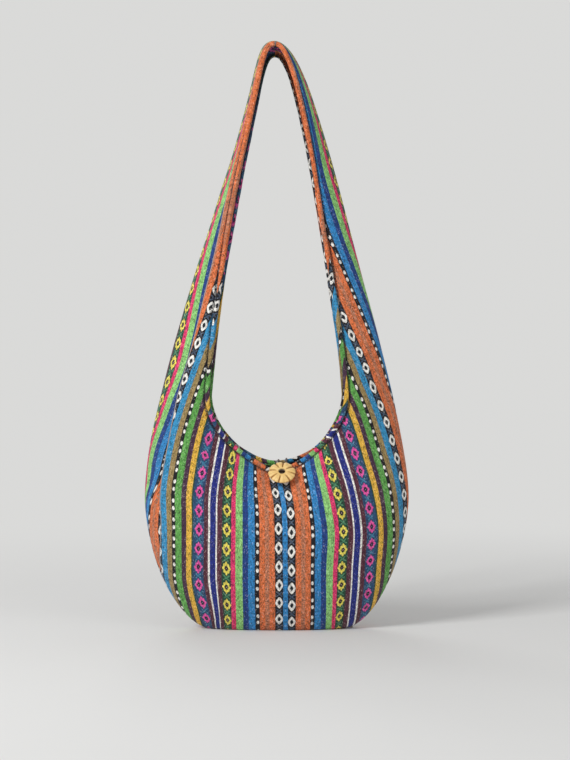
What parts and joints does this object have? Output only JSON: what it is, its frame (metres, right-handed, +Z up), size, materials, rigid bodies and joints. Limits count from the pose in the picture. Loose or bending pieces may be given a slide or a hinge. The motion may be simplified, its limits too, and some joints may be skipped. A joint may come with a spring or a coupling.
{
  "type": "crossbody bag",
  "caption": "Scooped hobo-style crossbody bag of striped woven cloth, its wide strap growing out of the body, closed by a carved flower button and a cord loop.",
  "frame": {"origin": "middle of the flat base, on the surface the bag stands on", "axes": "+Z up along the strap, +X to the right as seen from the front, -Y out of the front with the button"},
  "size_m": [0.3444, 0.1192, 0.762],
  "materials": {
    "woven_stripes_front": "ribbed cotton weave with vertical stripes and small ring motifs",
    "woven_stripes_back": "ribbed cotton weave with vertical stripes and small ring motifs",
    "rolled_edge_front": "rolled and stitched edge of the same cloth",
    "rolled_edge_back": "rolled and stitched edge of the same cloth",
    "pale_cord": "thin pale cotton cord",
    "pale_wood": "carved pale wood, satin",
    "dark_thread": "dark cotton thread",
    "loop_cord": "twisted grey cotton cord"
  },
  "bodies": {
    "root": {"front_panel": "woven_stripes_front", "back_panel": "woven_stripes_back", "front_rolled_edge": "rolled_edge_front", "back_rolled_edge": "rolled_edge_back", "side_seam_cord": "pale_cord", "button": "pale_wood", "button_thread": "dark_thread", "closing_loop": "loop_cord"}
  },
  "joints": []
}
